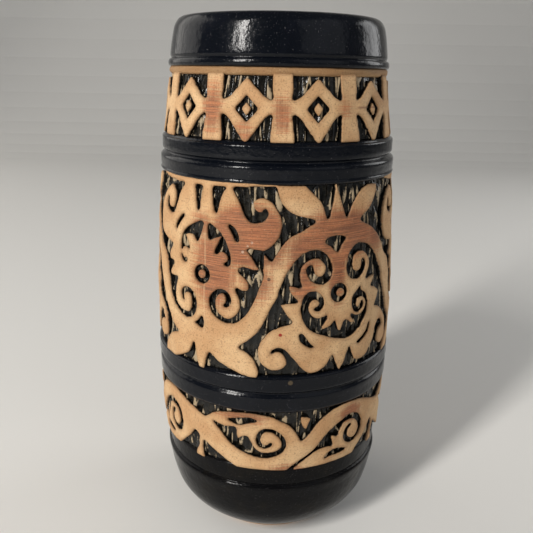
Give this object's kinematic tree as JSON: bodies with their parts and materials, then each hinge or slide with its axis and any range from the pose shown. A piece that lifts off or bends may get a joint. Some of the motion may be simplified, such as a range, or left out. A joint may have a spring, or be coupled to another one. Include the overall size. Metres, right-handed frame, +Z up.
{
  "type": "tiki mug",
  "caption": "Tall barrel-shaped stoneware drinking mug with gloss-glazed lip, hoops and foot, and three friezes of raised carved vine and scroll ornament.",
  "frame": {"origin": "middle of the foot, on the surface the mug stands on", "axes": "+Z up along the mug's axis; the front, between the hanging and the upright medallion, faces -Y"},
  "size_m": [0.0786, 0.0786, 0.165],
  "materials": {
    "bare_stoneware": "matt, speckled",
    "black_glaze": "gloss",
    "recess_glaze": "gloss, broken over tool marks",
    "liner_glaze": "gloss"
  },
  "bodies": {
    "root": {"stoneware_body": "bare_stoneware", "foot_glaze": "black_glaze", "lower_hoops_glaze": "black_glaze", "upper_hoops_glaze": "black_glaze", "collar_glaze": "black_glaze", "lower_recess_glaze": "recess_glaze", "middle_recess_glaze": "recess_glaze", "upper_recess_glaze": "recess_glaze", "liner_glaze": "liner_glaze", "neck_ridge": "bare_stoneware", "upper_posts": "bare_stoneware", "upper_diamonds": "bare_stoneware", "upper_pips": "bare_stoneware", "middle_vine": "bare_stoneware", "upright_leaves": "bare_stoneware", "hanging_leaves": "bare_stoneware", "upright_medallions": "bare_stoneware", "hanging_medallions": "bare_stoneware", "upright_scroll_feet": "bare_stoneware", "hanging_scroll_feet": "bare_stoneware", "medallion_pips": "bare_stoneware", "lower_vine": "bare_stoneware", "lower_crest_scrolls": "bare_stoneware", "lower_dip_scrolls": "bare_stoneware"}
  },
  "joints": []
}
